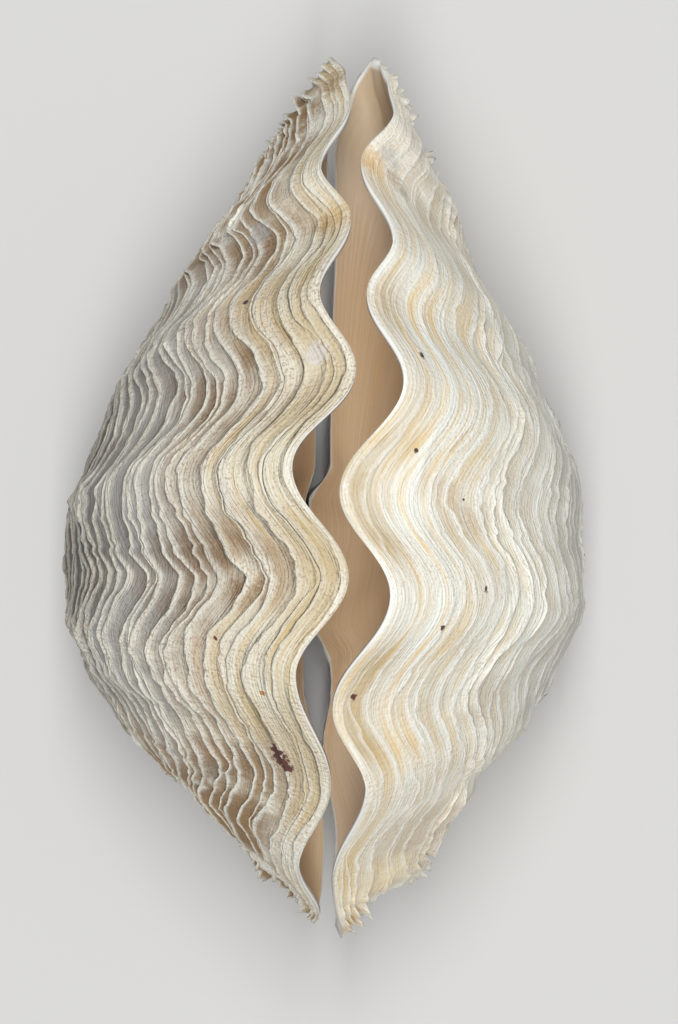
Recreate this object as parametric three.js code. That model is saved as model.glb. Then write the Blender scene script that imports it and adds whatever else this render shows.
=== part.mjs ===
// Giant clam shell: two fluted valves standing on their hinge, with the open margins up.
// Millimetres, +Z up. The long axis runs along Y, and the valves lie to either side in X.
import * as THREE from "three";
import { mergeGeometries, mergeVertices } from "three/addons/utils/BufferGeometryUtils.js";

// Side profile of a valve: station along Y from the hinge centre, and height over the hinge axis.
const MARGIN = [
  [179, 46], [173, 62], [152, 88], [122, 115], [94, 136], [66, 150], [33, 158], [-2, 158],
  [-37, 147], [-71, 125], [-99, 94], [-117, 66], [-127, 38],
];
const SHORT_BACK = [[-127, 38], [-115, 26], [-80, 13], [-40, 6], [0, 3]];
const LONG_BACK = [[0, 3], [50, 9], [100, 18], [150, 31], [179, 46]];
const SHORT_BACK_STATIONS = 9;
const LONG_BACK_STATIONS = 10;
const MARGIN_STEP = 9.4;

// Growth: each growth line is the margin turned about the hinge axis and scaled towards it.
const GROWTH_RATE = 0.43;
const GROWTH_CURL = 0.0064;
const CURL_POWER = 5;
const BEAK_TURN = THREE.MathUtils.degToRad(165);
const BEAK_SHIFT = 12;

// Ledges of the outside, counted from the margin to the beak.
const LEDGES = 14;
const LEDGE_END = THREE.MathUtils.degToRad(112);
const LEDGE_CROWDING = 1.2;
const LEDGE_HEIGHT = 3.2;
const WORN_ROWS = 4;
const LEDGE_STEP = 0.16;
const LEDGE_START = 14;

// Folds: how far a rib stands off the surface for each millimetre that it swings the margin out.
const FOLD_RELIEF = 0.15;
const FOLD_FADE = 2.5;
const LEAN_LENGTH = 0.5;

// Wall: thickness at the margin, along the back edges and at the hinge plate, and the cavity.
const LIP = 2.6;
const BACK_WALL = 6;
const HINGE_PLATE = 16;
const HINGE_PLATE_REACH = 34;
const CAVITY_CENTRE = [20, 75];
const CAVITY_TURN = THREE.MathUtils.degToRad(85);
const CAVITY_RINGS = [0, 0.08, 0.2, 0.36, 0.54, 0.72, 0.88];
const CAVITY_ROUNDING = 2.5;

// The sides reach their full girth at this turn from the margin.
const GIRTH_TURN = 0.45;

// How far from the hinge plane the shape of the back edges is felt.
const EDGE_REACH = 20;
const EDGE_TOP = 90;

// Rest: the hinge axis stands this high, and the umbones are worn flat where they meet the floor.
const HINGE_HEIGHT = 22.4;

// Margin folds, [station, distance out from the hinge plane] at each rib and groove, and the same
// along the back edges.
const VALVES = [
  {
    name: "left_valve",
    side: -1,
    swing: 0,
    shortEnd: 0.965,
    colour: 0xd3cbb9,
    girth: [
      [-120, 1.2], [-85, 1.03], [-68, 1.06], [-54, 1.09], [-40, 1.07], [-27, 1.04], [8, 1], [25, 0.97],
      [65, 0.96], [80, 0.98], [110, 1], [179, 1.1],
    ],
    folds: [
      [179, 1], [172, -3.5], [161, -5.4], [136, 3.2], [119, -6.6], [93, 2.4], [68, -9.5],
      [35.4, 9], [0, -9], [-32.7, 6.3], [-72.5, -5.3], [-101.5, 4], [-124, -1.2], [-127, -0.4],
    ],
    back: [
      [-127, -0.4], [-109, -3.4], [-97, -3.7], [-60, 0.6], [-42, 5.3], [-28, 5.7], [-20, 6],
      [0, 6.4], [26, 6.2], [36, 3.2], [54, 3.4], [137, 1.8], [179, 1],
    ],
  },
  {
    name: "right_valve",
    side: 1,
    swing: THREE.MathUtils.degToRad(5.4),
    shortEnd: 1,
    colour: 0xe2dccb,
    girth: [
      [-125, 1.15], [-105, 1.65], [-93, 1.27], [-80, 1.17], [-65, 1.01], [-15, 1.01], [0, 0.98],
      [25, 0.985], [50, 0.96], [100, 0.96], [125, 1], [179, 1.05],
    ],
    folds: [
      [179, 12.8], [168, 17.4], [156.5, 19.3], [139, 9.8], [110.6, 20.2], [93.4, 12.8], [64, 24.6],
      [28.2, 6.2], [-5.5, 22.4], [-43.4, 5.9], [-70, 16.6], [-103, 7.2], [-117, 7.6], [-127, 10],
    ],
    back: [
      [-127, 10], [-109, 7.2], [-97, 7.8], [-60, 2], [-42, 4.6], [-28, 3.2], [-18, -5.4],
      [0, -6], [26, -5.8], [36, 1.9], [54, 1.4], [137, 1.4], [150, 0], [165, 4.9], [179, 12.8],
    ],
  },
];

const { lerp, smoothstep } = THREE.MathUtils;

/** Value of a list of [station, value] pairs, eased between neighbours. */
function easedValue(pairs, station) {
  const rising = pairs[0][0] < pairs[pairs.length - 1][0] ? pairs : [...pairs].reverse();
  const next = rising.findIndex(([at]) => at > station);
  if (next === 0) return rising[0][1];
  if (next < 0) return rising[rising.length - 1][1];
  const [fromStation, fromValue] = rising[next - 1];
  const [toStation, toValue] = rising[next];
  const share = (station - fromStation) / (toStation - fromStation);
  return lerp(fromValue, toValue, 0.5 - 0.5 * Math.cos(Math.PI * share));
}

/** Scale of the growth line at a turn from the margin. */
function growthScale(turn) {
  return Math.exp(-(GROWTH_RATE * turn + GROWTH_CURL * Math.sign(turn) * Math.abs(turn) ** CURL_POWER));
}

/** Smooth curve through [station, height] pairs. */
function profileCurve(pairs) {
  return new THREE.SplineCurve(pairs.map(([y, z]) => new THREE.Vector2(y, z)));
}

/** Position along a curve, 0 to 1, at which it passes a station. */
function shareAtStation(curve, station) {
  const points = curve.getSpacedPoints(400);
  const sign = Math.sign(points[400].x - points[0].x);
  const index = points.findIndex((point) => sign * (point.x - station) >= 0);
  return index < 0 ? 1 : index / 400;
}

/** Stations of the margin: each fold gets whole steps of about MARGIN_STEP. */
function marginShares(curve, folds) {
  const marks = folds.map(([station]) => shareAtStation(curve, station));
  const shares = [0];
  for (const mark of [...marks.slice(1, -1), 1]) {
    const from = shares[shares.length - 1];
    const steps = Math.max(1, Math.round(((mark - from) * curve.getLength()) / MARGIN_STEP));
    for (let step = 1; step <= steps; step++) shares.push(lerp(from, mark, step / steps));
  }
  return shares;
}

/** Thickness of the edge face at a point of the loop. */
function edgeWall(y, onMargin) {
  if (onMargin) return LIP;
  const plate = 1 - smoothstep(Math.abs(y), HINGE_PLATE_REACH * 0.4, HINGE_PLATE_REACH * 1.6);
  const tip = smoothstep(Math.abs(y), 90, 160);
  return lerp(lerp(BACK_WALL, HINGE_PLATE, plate), LIP, tip);
}

/** One valve, from its row of stations round the margin and back. */
class Valve {
  constructor(spec) {
    this.spec = spec;
    this.loop = this.makeLoop();
  }

  /** Points round the whole edge: margin from the long end to the short one, then the back. */
  makeLoop() {
    const { folds, swing } = this.spec;
    const margin = profileCurve(MARGIN);
    const shares = marginShares(margin, folds);
    const loop = shares.map((share) => {
      const { x: y, y: z } = margin.getPointAt(share);
      const wave = easedValue(folds, y) - z * Math.sin(swing);
      return { y, z, lean: wave / z, relief: FOLD_RELIEF * wave, wall: edgeWall(y, true) };
    });
    this.tipLeans = { short: loop[loop.length - 1].lean, long: loop[0].lean };
    this.addBack(loop, SHORT_BACK, SHORT_BACK_STATIONS);
    this.addBack(loop, LONG_BACK, LONG_BACK_STATIONS);
    loop.pop();
    return loop;
  }

  /** Lean of the back edge at a height: that of the tip, fading towards the hinge. */
  backLean(y, z) {
    const { short, long } = this.tipLeans;
    return y < 0 ? short * (z / SHORT_BACK[0][1]) ** 2 : long * (z / MARGIN[0][1]) ** 2;
  }

  /** Adds the stations of one back edge. */
  addBack(loop, profile, count) {
    const curve = profileCurve(profile);
    for (let step = 1; step <= count; step++) {
      const { x: y, y: z } = curve.getPointAt(step / count);
      loop.push({ y, z, lean: this.backLean(y, z), relief: 0, wall: edgeWall(y, false) });
    }
  }

  /** A point of the half-plane at a turn about the hinge axis, turned on by a lean. */
  turned(y, z, turn, lean = 0) {
    const { swing, shortEnd, girth } = this.spec;
    const scale = growthScale(turn + lean * (1 - Math.exp(-turn / LEAN_LENGTH)));
    const angle = turn + lean + swing;
    const drift = BEAK_SHIFT * smoothstep(turn, 1.2, 2.4);
    const station = scale * y * (y < 0 ? shortEnd : 1) + drift;
    const fullness = lerp(1, easedValue(girth, station), smoothstep(turn, 0, GIRTH_TURN));
    return new THREE.Vector3(
      fullness * scale * z * Math.sin(angle),
      station,
      scale * z * Math.cos(angle),
    );
  }

  /** The smooth outside at a loop station and a turn. */
  outside({ y, z, lean }, turn) {
    return this.turned(y, z, turn, lean * (1 - (turn / BEAK_TURN) ** 2));
  }

  /** Direction off the outside, from its slopes along and across the growth lines. */
  normal(index, turn) {
    const { loop } = this;
    const before = this.outside(loop[(index + loop.length - 1) % loop.length], turn);
    const after = this.outside(loop[(index + 1) % loop.length], turn);
    const down = this.outside(loop[index], turn + 0.01).sub(this.outside(loop[index], turn - 0.01));
    return after.sub(before).cross(down).normalize();
  }

  /** Moves a point so that the back edges follow their own line at the hinge plane. */
  bent(point) {
    const { back, swing } = this.spec;
    const height = easedValue(point.y < 0 ? SHORT_BACK : LONG_BACK, point.y);
    const edge = height * Math.sin(swing + this.backLean(point.y, height));
    const wanted = easedValue(back, point.y) - edge;
    const near = Math.exp(-((point.x / EDGE_REACH) ** 2));
    const low = 1 - smoothstep(point.z, EDGE_TOP * 0.4, EDGE_TOP);
    point.x += wanted * near * low;
    return point;
  }

  /** Puts a point of the valve in the standing shell. */
  placed(point) {
    const { side } = this.spec;
    this.bent(point);
    return [side * point.x, point.y, Math.max(point.z + HINGE_HEIGHT, 0)];
  }

  /** A vertex of the outside: on a fold, and lifted to the lip of a ledge. */
  outsidePoint(index, turn, lift) {
    const station = this.loop[index];
    const scale = growthScale(turn);
    const ledge = lift * scale * smoothstep(station.z, LEDGE_START, 2 * LEDGE_START);
    const off = station.relief * scale ** FOLD_FADE + ledge;
    const point = this.outside(station, turn).addScaledVector(this.normal(index, turn), off);
    return this.placed(point);
  }

  /** A vertex of the inside, on a ring between the edge and the middle of the cavity. */
  insidePoint(index, ring) {
    const { y, z, lean, relief, wall } = this.loop[index];
    const [centreY, centreZ] = CAVITY_CENTRE;
    const distance = Math.hypot(centreY - y, centreZ - z);
    const open = (1 - ring ** CAVITY_ROUNDING) ** (1 / CAVITY_ROUNDING);
    const inward = 1 - (1 - wall / distance) * open;
    const turn = CAVITY_TURN * ring;
    const fade = (1 - ring) ** 2;
    const point = this.turned(lerp(y, centreY, inward), lerp(z, centreZ, inward), turn, lean * fade);
    point.addScaledVector(this.normal(index, turn), relief * fade);
    return this.placed(point);
  }

  /** Turn and lift of each row of the outside, from the margin to the beak. */
  outsideRows() {
    const rows = [{ turn: 0, lift: 0 }];
    const turnAt = (count) => LEDGE_END * (count / LEDGES) ** LEDGE_CROWDING;
    for (let ledge = 1; ledge < LEDGES; ledge++) {
      const worn = 1 - smoothstep(turnAt(ledge), 1.3, 2);
      rows.push({ turn: turnAt(ledge), lift: LEDGE_HEIGHT * lerp(0.2, 1, worn) });
      rows.push({ turn: turnAt(ledge + LEDGE_STEP), lift: 0 });
    }
    for (let row = 0; row <= WORN_ROWS; row++) {
      rows.push({ turn: lerp(LEDGE_END, BEAK_TURN, row / WORN_ROWS), lift: 0 });
    }
    return rows;
  }

  mesh() {
    const { name, side, colour } = this.spec;
    const columns = this.loop.length;
    const rows = this.outsideRows();
    const rings = CAVITY_RINGS;
    const outer = (column, row) => this.outsidePoint(column, rows[row].turn, rows[row].lift);
    const inner = (column, row) =>
      row === 0 ? outer(column, 0) : this.insidePoint(column, rings[row - 1]);
    const beak = this.placed(this.turned(20, 60, BEAK_TURN));
    const pit = this.placed(this.turned(...CAVITY_CENTRE, CAVITY_TURN));
    const sheets = [
      sheet(columns, rows.length - 1, outer, side > 0),
      cap(columns, beak, (column) => outer(column, rows.length - 1), side > 0),
      sheet(columns, rings.length, inner, side < 0),
      cap(columns, pit, (column) => inner(column, rings.length), side < 0),
    ];
    const geometry = mergeVertices(mergeGeometries(sheets), 1e-3);
    geometry.computeVertexNormals();
    const material = new THREE.MeshStandardMaterial({ color: colour, roughness: 0.75, metalness: 0 });
    const mesh = new THREE.Mesh(geometry, material);
    mesh.name = name;
    return mesh;
  }
}

/** Keeps only the positions of a geometry, with its faces turned round where asked. */
function bare(geometry, flipped) {
  geometry.deleteAttribute("uv");
  geometry.deleteAttribute("normal");
  const { array } = geometry.index;
  for (let i = 0; flipped && i < array.length; i += 3) {
    [array[i], array[i + 1]] = [array[i + 1], array[i]];
  }
  return geometry;
}

/** A plane wrapped round the valve: place(column, row) gives each vertex. */
function sheet(columns, rows, place, flipped) {
  const plane = new THREE.PlaneGeometry(1, 1, columns, rows);
  const positions = plane.getAttribute("position");
  for (let i = 0; i < positions.count; i++) {
    const column = i % (columns + 1);
    const row = Math.floor(i / (columns + 1));
    positions.setXYZ(i, ...place(column % columns, row));
  }
  return bare(plane, flipped);
}

/** A disc that closes a ring of vertices round a middle point. */
function cap(columns, middle, place, flipped) {
  const disc = new THREE.CircleGeometry(1, columns);
  const positions = disc.getAttribute("position");
  positions.setXYZ(0, ...middle);
  for (let column = 0; column <= columns; column++) {
    positions.setXYZ(column + 1, ...place(column % columns));
  }
  return bare(disc, !flipped);
}

/** Moves the pieces together, so that the origin is under the middle of the whole shell. */
function centred(meshes) {
  const box = new THREE.Box3();
  meshes.forEach((mesh) => box.expandByObject(mesh));
  const middle = box.getCenter(new THREE.Vector3());
  meshes.forEach((mesh) => mesh.geometry.translate(-middle.x, -middle.y, 0));
  return meshes;
}

const shell = new THREE.Group();
shell.name = "giant_clam_shell";
shell.add(...centred(VALVES.map((spec) => new Valve(spec).mesh())));

export default shell;
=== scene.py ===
"""Giant clam shell: two fluted valves standing on their hinge, with the wavy margins up.

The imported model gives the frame. Each valve is built again here with all of its growth lamellae, as
one closed mesh from an outside sheet and an inside sheet, and dressed with procedural materials.
Lengths in the classes are millimetres, and meshes are written in metres.
"""

import logging
from dataclasses import dataclass, field
from enum import Enum

import bmesh
import bpy
import numpy as np
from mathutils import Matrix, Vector

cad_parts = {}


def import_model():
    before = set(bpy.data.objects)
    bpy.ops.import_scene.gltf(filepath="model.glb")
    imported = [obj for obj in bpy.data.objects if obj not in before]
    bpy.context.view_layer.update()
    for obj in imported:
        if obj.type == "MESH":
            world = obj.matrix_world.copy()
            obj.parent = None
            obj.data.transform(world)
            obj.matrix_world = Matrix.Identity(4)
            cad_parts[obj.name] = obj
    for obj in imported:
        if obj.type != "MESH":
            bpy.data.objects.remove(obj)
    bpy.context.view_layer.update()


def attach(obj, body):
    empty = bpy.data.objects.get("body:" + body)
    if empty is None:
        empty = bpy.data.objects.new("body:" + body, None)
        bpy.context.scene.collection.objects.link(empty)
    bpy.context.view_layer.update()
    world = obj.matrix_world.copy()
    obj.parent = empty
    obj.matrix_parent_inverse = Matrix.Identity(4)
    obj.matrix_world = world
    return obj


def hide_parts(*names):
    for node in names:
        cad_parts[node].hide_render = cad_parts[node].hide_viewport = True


log = logging.getLogger("giant_clam")

METRES = 0.001

# Vertices closer than this, in metres, are one.
MERGE_DISTANCE = 1e-6
# Millimetres in one unit of the surface map.
MAP_UNIT = 10.0
# Share of the way across a plate that the edge of the margin counts as.
EDGE_SHARE = 0.85
# Steps between two points of a spline.
SPLINE_STEPS = 60
# How far to each side of a turn, in radians, the slope of the outside is measured.
SLOPE_TURN = 0.01

Pair = tuple[float, float]
Pairs = tuple[Pair, ...]
Waves = tuple[tuple[float, int], ...]
# Random knots down a sheet and round it.
Knots = tuple[int, int]
# Where a smooth step starts and ends.
Span = tuple[float, float]
# Waves of noise in a metre of the object, and its detail.
Noise = tuple[float, float]
# Waves of noise along the growth lines and down from the margin, in one unit of the surface
# map, and its detail.
Streaks = tuple[float, float, float]
Place = tuple[float, float, float]
Colour = tuple[float, float, float]
Socket = bpy.types.NodeSocket

RED_BROWN: Colour = (0.12, 0.04, 0.03)
DARK_BROWN: Colour = (0.09, 0.05, 0.04)
CHALK: Colour = (0.90, 0.88, 0.78)
# Where a mark starts to fade and where it has faded, as shares of its radius.
CRISP: Span = (1.95, 2.3)
SOFT: Span = (1.2, 2.8)


class Side(Enum):
    """Which side of the hinge plane a valve lies on, as the sign of its X."""

    LEFT = -1
    RIGHT = 1


class Rim(Enum):
    """Part of the edge loop that a station belongs to."""

    MARGIN = "margin"
    BACK = "back"


def eased(pairs: Pairs, at: np.ndarray) -> np.ndarray:
    """Values of a list of (station, value) pairs, eased between neighbours.

    Args:
        pairs: Stations, rising or falling, with their values.
        at: Stations to look up.

    Returns:
        The value at each station, held constant past both ends.
    """
    stations, values = np.array(sorted(pairs), dtype=float).T
    at = np.clip(at, stations[0], stations[-1])
    step = np.clip(np.searchsorted(stations, at, side="right") - 1, 0, len(stations) - 2)
    share = (at - stations[step]) / (stations[step + 1] - stations[step])
    blend = 0.5 - 0.5 * np.cos(np.pi * share)
    return values[step] + blend * (values[step + 1] - values[step])


def smooth(value: np.ndarray, low: float, high: float) -> np.ndarray:
    """Smooth step from 0 at low to 1 at high."""
    share = np.clip((value - low) / (high - low), 0.0, 1.0)
    return share * share * (3.0 - 2.0 * share)


def spline(points: Pairs, count: int) -> np.ndarray:
    """Evenly spaced points on the smooth curve through a few points.

    Args:
        points: Points of the curve.
        count: Number of steps along it.

    Returns:
        An array of count + 1 points.
    """
    knots = np.array(points, dtype=float)
    padded = np.vstack([knots[:1], knots, knots[-1:]])
    fine = []
    for before, start, end, after in zip(padded, padded[1:], padded[2:], padded[3:]):
        t = np.linspace(0.0, 1.0, SPLINE_STEPS, endpoint=False)[:, None]
        leave, arrive = (end - before) / 2, (after - start) / 2
        cubic = (2 * start - 2 * end + leave + arrive) * t**3
        square = (-3 * start + 3 * end - 2 * leave - arrive) * t**2
        fine.append(cubic + square + leave * t + start)
    curve = np.vstack([*fine, knots[-1:]])
    lengths = np.r_[0.0, np.cumsum(np.hypot(*np.diff(curve, axis=0).T))]
    wanted = np.linspace(0.0, lengths[-1], count + 1)
    return np.column_stack([np.interp(wanted, lengths, curve[:, axis]) for axis in (0, 1)])


@dataclass(frozen=True)
class Growth:
    """How the margin turns about the hinge axis and shrinks towards the beak."""

    rate: float = 0.43
    curl: float = 0.0064
    curl_power: float = 5.0
    beak_turn: float = np.radians(165)
    # Station and height, on the margin's own scale, of the point where the outside closes.
    beak: Pair = (20.0, 60.0)
    beak_shift: float = 12.0
    shift_turns: Span = (1.2, 2.4)
    lean_length: float = 0.5
    girth_turn: float = 0.45

    def scale(self, turn: np.ndarray) -> np.ndarray:
        """Size of the growth line at a turn, against the margin."""
        curled = self.curl * np.sign(turn) * np.abs(turn) ** self.curl_power
        return np.exp(-(self.rate * turn + curled))


@dataclass(frozen=True)
class Profile:
    """Side view of a valve, from the hinge centre, in millimetres: (station, height)."""

    margin: Pairs = (
        (179, 46), (173, 62), (152, 88), (122, 115), (94, 136), (66, 150), (33, 158),
        (-2, 158), (-37, 147), (-71, 125), (-99, 94), (-117, 66), (-127, 38),
    )
    short_back: Pairs = ((-127, 38), (-115, 26), (-80, 13), (-40, 6), (0, 3))
    long_back: Pairs = ((0, 3), (50, 9), (100, 18), (150, 31), (179, 46))
    middle: float = 26.0
    # Heights that the tips fade over, and distances from the middle that the ends rise over.
    tip_heights: Span = (50.0, 95.0)
    end_distances: Span = (78.0, 122.0)
    # Depth of the whole surface map, from the margin to the beak, in its own units.
    map_depth: float = 40.0
    # Place of the hinge centre in the standing shell.
    hinge_height: float = 22.4
    hinge_x: float = -1.3127
    hinge_y: float = -26.0496
    margin_steps: int = 292
    short_back_steps: int = 22
    long_back_steps: int = 28


@dataclass(frozen=True)
class Wall:
    """Thickness of the shell at its edges, and the bowl of the cavity."""

    lip: float = 2.6
    back: float = 6.0
    plate: float = 16.0
    # Distances from the hinge over which the plate thins, and then the back edge.
    plate_fade: Span = (13.6, 54.4)
    tip_fade: Span = (90.0, 160.0)
    # Station and height of the cavity's middle, on the margin's own scale.
    centre: Pair = (20.0, 75.0)
    turn: float = np.radians(85)
    rounding: float = 2.5
    rings: int = 40
    ring_power: float = 1.15

    def thickness(self, station: np.ndarray, rim: Rim) -> np.ndarray:
        """Thickness of the edge face at stations of one part of the loop.

        Args:
            station: Stations along the hinge.
            rim: Part of the loop that they are on.

        Returns:
            The thickness at each station.
        """
        if rim is Rim.MARGIN:
            return np.full_like(station, self.lip)
        away = np.abs(station)
        hinge = self.back + (self.plate - self.back) * (1 - smooth(away, *self.plate_fade))
        return hinge + (self.lip - hinge) * smooth(away, *self.tip_fade)


@dataclass(frozen=True)
class Lamellae:
    """Growth lamellae of the outside: thin plates with concave faces towards the margin.

    Turns are radians from the margin, and heights are millimetres.
    """

    # Lines of the plates. A line wanders by shares of the space between plates, in so many waves.
    count: int = 42
    end_turn: float = np.radians(112)
    crowding: float = 1.2
    jitter: float = 0.42
    wander: float = 0.7
    wander_waves: Waves = ((0.65, 20), (0.25, 64), (0.12, 170))
    closest: float = 0.25
    # Heights of the plates. Minor and major are shares of the full height.
    height: float = 5.0
    minor: Span = (0.3, 0.75)
    major: Span = (0.85, 1.15)
    major_share: float = 0.45
    patch_base: float = 0.8
    patch_spread: float = 0.45
    patch_knots: Knots = (14, 30)
    flutes: float = 0.25
    flute_waves: int = 150
    rib_base: float = 0.8
    rib_gain: float = 0.2
    flank_loss: float = 0.3
    frill: float = 0.7
    frill_spread: float = 1.2
    frill_waves: int = 170
    youngest: float = 0.1
    fresh_turns: Span = (0.04, 0.5)
    tip_scales: float = 0.6
    worn_turns: Span = (1.15, 1.95)
    worn_loss: float = 0.8
    smooth_heights: Span = (14.0, 40.0)
    # Distance between plates, as a share of their radius, at which one has its full height.
    usual_gap: float = 6.5 / 150
    crowd: Span = (0.35, 1.1)
    # Section of a plate, as shares of the way across it, from its foot to its lip.
    shares: tuple[float, ...] = (0.03, 0.42, 0.74, 0.97)
    sharpness: float = 2.8
    sharpness_spread: float = 1.0
    sharpness_knots: Knots = (20, 24)
    overhang: float = 1.07
    overhang_height: float = 0.9
    valley: float = 0.22
    valley_power: int = 3
    valley_turns: Span = (0.1, 0.5)
    # Lumps under the plates, and the plain rows from the last plate to the beak.
    lumps: float = 0.9
    lump_knots: Knots = (16, 40)
    worn_rows: int = 12
    worn_share: float = 0.5
    # Tone of a plate: its middle, and how far it varies along a plate and between plates.
    tone: float = 0.5
    tone_along: float = 0.3
    tone_waves: int = 12
    tone_between: float = 0.2


@dataclass(frozen=True)
class Folds:
    """Ribs and grooves of the outside."""

    relief: float = 0.15
    fade: float = 2.5
    # Wave of the margin at which a rib counts as a full one.
    full_wave: float = 9.0
    tip_drop: float = 0.7


@dataclass(frozen=True)
class Bend:
    """How far from the hinge plane the shape of the back edges is felt."""

    reach: float = 20.0
    heights: Span = (36.0, 90.0)


@dataclass
class Sheet:
    """Vertex places of a sheet, with the values that its materials read."""

    places: np.ndarray
    layers: dict[str, np.ndarray]
    uv: np.ndarray


class Wobble:
    """Smooth random values over the rows and columns of a sheet that closes on itself."""

    def __init__(self, seed: int, columns: int) -> None:
        """Starts its own random generator."""
        self.random = np.random.default_rng(seed)
        self.columns = columns

    def rows(self, count: int, waves: int) -> np.ndarray:
        """Random values between -1 and 1 that vary smoothly along each row.

        Args:
            count: Number of rows.
            waves: Number of random knots round the loop.

        Returns:
            An array of count rows.
        """
        knots = self.random.uniform(-1.0, 1.0, (count, waves))
        at = np.arange(self.columns) * waves / self.columns
        low = at.astype(int)
        share = at - low
        blend = share * share * (3.0 - 2.0 * share)
        return knots[:, low % waves] * (1 - blend) + knots[:, (low + 1) % waves] * blend

    def patches(self, count: int, bands: int, waves: int) -> np.ndarray:
        """Random values between -1 and 1 that vary smoothly along and across the rows.

        Args:
            count: Number of rows.
            bands: Number of random knots down the sheet.
            waves: Number of random knots round the loop.

        Returns:
            An array of count rows.
        """
        knots = self.rows(bands + 1, waves)
        at = np.linspace(0.0, bands - 1e-6, count)
        low = at.astype(int)
        share = (at - low)[:, None]
        blend = share * share * (3.0 - 2.0 * share)
        return knots[low] * (1 - blend) + knots[low + 1] * blend


@dataclass
class ValveForm:
    """Shape of one valve, as arrays of points over its loop of stations and its turns."""

    side: Side
    swing: float
    short_end: float
    girth: Pairs
    folds: Pairs
    back: Pairs
    seed: int
    growth: Growth = field(default_factory=Growth)
    profile: Profile = field(default_factory=Profile)
    wall: Wall = field(default_factory=Wall)
    lamellae: Lamellae = field(default_factory=Lamellae)
    ribs: Folds = field(default_factory=Folds)
    bend: Bend = field(default_factory=Bend)

    def __post_init__(self) -> None:
        """Lays out the loop of stations: the margin from the long end, then the back."""
        profile = self.profile
        margin = spline(profile.margin, profile.margin_steps)
        short = spline(profile.short_back, profile.short_back_steps)[1:]
        long = spline(profile.long_back, profile.long_back_steps)[1:-1]
        back = np.vstack([short, long])
        wave = eased(self.folds, margin[:, 0]) - margin[:, 1] * np.sin(self.swing)
        self.tip_leans = (wave[-1] / margin[-1, 1], wave[0] / margin[0, 1])
        still = np.zeros(len(back))
        self.y = np.r_[margin[:, 0], back[:, 0]]
        self.z = np.r_[margin[:, 1], back[:, 1]]
        self.wave = np.r_[wave, still]
        self.lean = np.r_[wave / margin[:, 1], self.back_lean(back[:, 0], back[:, 1])]
        self.edge_wall = np.r_[
            self.wall.thickness(margin[:, 0], Rim.MARGIN),
            self.wall.thickness(back[:, 0], Rim.BACK),
        ]
        steps = np.hypot(np.diff(self.y, append=self.y[0]), np.diff(self.z, append=self.z[0]))
        self.arc = np.cumsum(steps) - steps

    @property
    def columns(self) -> int:
        """Number of stations round the loop."""
        return len(self.y)

    def back_lean(self, y: np.ndarray, z: np.ndarray) -> np.ndarray:
        """Lean of the back edge at a height: that of the tip, fading towards the hinge.

        Args:
            y: Stations of the back edge.
            z: Their heights.

        Returns:
            The lean at each of them.
        """
        short, long = self.tip_leans
        at_short = short * (z / self.profile.margin[-1][1]) ** 2
        at_long = long * (z / self.profile.margin[0][1]) ** 2
        return np.where(y < 0, at_short, at_long)

    def turned(self, y: np.ndarray, z: np.ndarray, turn: np.ndarray, lean: np.ndarray) -> np.ndarray:
        """Points of the half-planes at a turn about the hinge axis, turned on by a lean.

        Args:
            y: Stations on the margin's own scale.
            z: Heights on the margin's own scale.
            turn: Turns from the margin.
            lean: Further turns, which leave the size of the growth line at the margin alone.

        Returns:
            Points with X away from the hinge plane.
        """
        growth = self.growth
        scale = growth.scale(turn + lean * (1 - np.exp(-turn / growth.lean_length)))
        angle = turn + lean + self.swing
        drift = growth.beak_shift * smooth(turn, *growth.shift_turns)
        station = scale * y * np.where(y < 0, self.short_end, 1.0) + drift
        full = 1 + (eased(self.girth, station) - 1) * smooth(turn, 0.0, growth.girth_turn)
        out, up = full * scale * z * np.sin(angle), scale * z * np.cos(angle)
        return np.stack(np.broadcast_arrays(out, station, up), -1)

    def outside(self, turn: np.ndarray) -> np.ndarray:
        """The smooth outside at every station, for rows of turns."""
        fade = 1 - (turn / self.growth.beak_turn) ** 2
        return self.turned(self.y, self.z, turn, self.lean * fade)

    def normals(self, turn: np.ndarray) -> np.ndarray:
        """Directions off the outside, from its slopes along and across the growth lines.

        Args:
            turn: Rows of turns from the margin.

        Returns:
            A direction of length 1 at each station, for each turn.
        """
        here = self.outside(turn)
        along = np.roll(here, -1, axis=1) - np.roll(here, 1, axis=1)
        down = self.outside(turn + SLOPE_TURN) - self.outside(turn - SLOPE_TURN)
        normal = np.cross(along, down)
        return normal / np.linalg.norm(normal, axis=-1, keepdims=True)

    def bent(self, points: np.ndarray) -> np.ndarray:
        """Moves points so that the back edges follow their own line at the hinge plane.

        Args:
            points: Points of the valve, from the hinge centre.

        Returns:
            The moved points.
        """
        x, y, z = np.moveaxis(points, -1, 0)
        profile = self.profile
        height = np.where(y < 0, eased(profile.short_back, y), eased(profile.long_back, y))
        edge = height * np.sin(self.swing + self.back_lean(y, height))
        near = np.exp(-((x / self.bend.reach) ** 2))
        low = 1 - smooth(z, *self.bend.heights)
        moved = points.copy()
        moved[..., 0] += (eased(self.back, y) - edge) * near * low
        return moved

    def placed(self, points: np.ndarray) -> np.ndarray:
        """Points of the valve in the standing shell, in metres.

        Args:
            points: Points of the valve, from the hinge centre.

        Returns:
            Their places, none of them below the floor.
        """
        moved = self.bent(points)
        profile = self.profile
        moved[..., 0] = self.side.value * moved[..., 0] + profile.hinge_x
        moved[..., 1] += profile.hinge_y
        moved[..., 2] = np.maximum(moved[..., 2] + profile.hinge_height, 0.0)
        return moved * METRES

    @property
    def tips(self) -> np.ndarray:
        """1 at the two ends and along the back, fading to 0 up the margin."""
        return 1 - smooth(self.z, *self.profile.tip_heights)

    @property
    def ends(self) -> np.ndarray:
        """1 at the stations of the two ends, fading to 0 well before the middle."""
        return smooth(np.abs(self.y - self.profile.middle), *self.profile.end_distances)

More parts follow.
